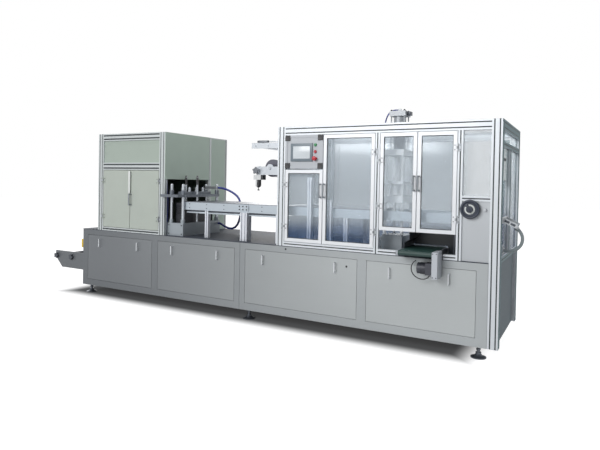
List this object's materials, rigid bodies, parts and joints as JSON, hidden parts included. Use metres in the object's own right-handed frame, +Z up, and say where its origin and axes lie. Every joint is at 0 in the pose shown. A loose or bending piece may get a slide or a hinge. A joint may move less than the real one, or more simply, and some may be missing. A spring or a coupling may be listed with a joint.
{
  "type": "blister packing machine",
  "caption": "Long stainless machine base with a heating cabinet, forming press, film track and glazed sealing enclosure with a touch panel, handwheel and outfeed belt.",
  "frame": {"origin": "middle of the outer box, at floor level", "axes": "+X along the film's run to the right, +Y to the back, +Z up"},
  "size_m": [5.3646, 1.249, 2.011],
  "materials": {
    "base_steel": "brushed stainless sheet",
    "table_steel": "brushed stainless plate",
    "panel_steel": "brushed stainless sheet",
    "pull_aluminium": "satin bar",
    "foot_steel": "turned steel",
    "yellow_plastic": "moulded",
    "dark_steel": "dark satin",
    "extrusion": "clear anodised extrusion",
    "cream_paint": "powder coat, cream green",
    "handle_chrome": "polished",
    "hinge_alloy": "cast, satin",
    "machined_alloy": "milled, satin",
    "column_chrome": "ground and plated",
    "black_core": "black anodised",
    "hose_blue": "polyurethane tube",
    "foil_roll": "wound foil",
    "black_plastic": "moulded",
    "frosted_glazing": "frosted acrylic",
    "navy_plastic": "moulded",
    "bezel_grey": "moulded",
    "cylinder_alloy": "clear anodised",
    "belt_green": "smooth belt",
    "cable_black": "sheathed cable",
    "conduit_grey": "flexible conduit"
  },
  "bodies": {
    "machine": {"base_left_housing": "base_steel", "base_right_housing": "base_steel", "table_plates": "table_steel", "front_panels": "panel_steel", "rear_panels": "panel_steel", "panel_pulls": "pull_aluminium", "levelling_feet": "foot_steel", "main_switch": "yellow_plastic", "unwind_bracket": "base_steel", "unwind_shafts": "dark_steel", "cabinet_posts": "extrusion", "cabinet_rails": "extrusion", "cabinet_panels": "cream_paint", "hinge_leaves": "hinge_alloy", "forming_block": "machined_alloy", "forming_columns": "column_chrome", "forming_core": "black_core", "forming_hose": "hose_blue", "film_rails": "machined_alloy", "film_bed": "table_steel", "rail_supports": "extrusion", "foil_arms": "machined_alloy", "arm_rollers": "column_chrome", "filter_regulator": "black_plastic", "enclosure_posts": "extrusion", "enclosure_rails": "extrusion", "fixed_glazing": "frosted_glazing", "handwheel_panel": "panel_steel", "control_box": "machined_alloy", "operator_panel": "bezel_grey", "press_frame": "machined_alloy", "press_head": "machined_alloy", "press_cylinder": "cylinder_alloy", "outfeed_frame": "machined_alloy", "outfeed_belt": "belt_green", "outfeed_motor": "dark_steel", "motor_lead": "cable_black", "discharge_chute": "black_plastic", "end_bracket": "foot_steel", "end_conduit": "conduit_grey", "cylinder_hose": "hose_blue", "cabinet_hose": "hose_blue"},
    "door_1": {"door_1_frame": "extrusion", "door_1_glass": "frosted_glazing", "door_1_handle": "handle_chrome"},
    "door_2": {"door_2_frame": "extrusion", "door_2_glass": "frosted_glazing", "door_2_handle": "handle_chrome"},
    "door_3": {"door_3_frame": "extrusion", "door_3_glass": "frosted_glazing", "door_3_handle": "handle_chrome"},
    "door_4": {"door_4_frame": "extrusion", "door_4_glass": "frosted_glazing", "door_4_handle": "handle_chrome"},
    "cabinet_left_leaf": {"cabinet_door_left": "cream_paint"},
    "cabinet_right_leaf": {"cabinet_door_right": "cream_paint", "cabinet_handle": "handle_chrome"},
    "wheel": {"handwheel": "navy_plastic"},
    "platen": {"forming_platen": "dark_steel"},
    "reel": {"foil_reel": "foil_roll"}
  },
  "joints": [
    {"name": "door_1_hinge", "type": "hinge", "parent": "machine", "child": "door_1", "pos_m": [0.661, -0.4835, 1.1], "axis": [0, 0, -1], "range_deg": [0, 110]},
    {"name": "door_2_hinge", "type": "hinge", "parent": "machine", "child": "door_2", "pos_m": [1.54, -0.4835, 1.1], "axis": [0, 0, 1], "range_deg": [0, 110]},
    {"name": "door_3_hinge", "type": "hinge", "parent": "machine", "child": "door_3", "pos_m": [1.585, -0.4835, 1.1], "axis": [0, 0, 1], "range_deg": [-110, 0]},
    {"name": "door_4_hinge", "type": "hinge", "parent": "machine", "child": "door_4", "pos_m": [2.225, -0.4835, 1.1], "axis": [0, 0, 1], "range_deg": [0, 110]},
    {"name": "cabinet_left_hinge", "type": "hinge", "parent": "machine", "child": "cabinet_left_leaf", "pos_m": [-1.766, -0.4835, 1.1], "axis": [0, 0, -1], "range_deg": [0, 110]},
    {"name": "cabinet_right_hinge", "type": "hinge", "parent": "machine", "child": "cabinet_right_leaf", "pos_m": [-0.911, -0.4835, 1.1], "axis": [0, 0, 1], "range_deg": [0, 110]},
    {"name": "handwheel_turn", "type": "hinge", "parent": "machine", "child": "wheel", "pos_m": [2.3325, -0.4975, 1.156], "axis": [0, 1, 0], "continuous": true},
    {"name": "platen_slide", "type": "slide", "parent": "machine", "child": "platen", "axis": [0, 0, -1], "range_m": [0, 0.04]},
    {"name": "reel_turn", "type": "hinge", "parent": "machine", "child": "reel", "pos_m": [0.4415, -0.1245, 1.472], "axis": [0, 1, 0], "continuous": true}
  ]
}
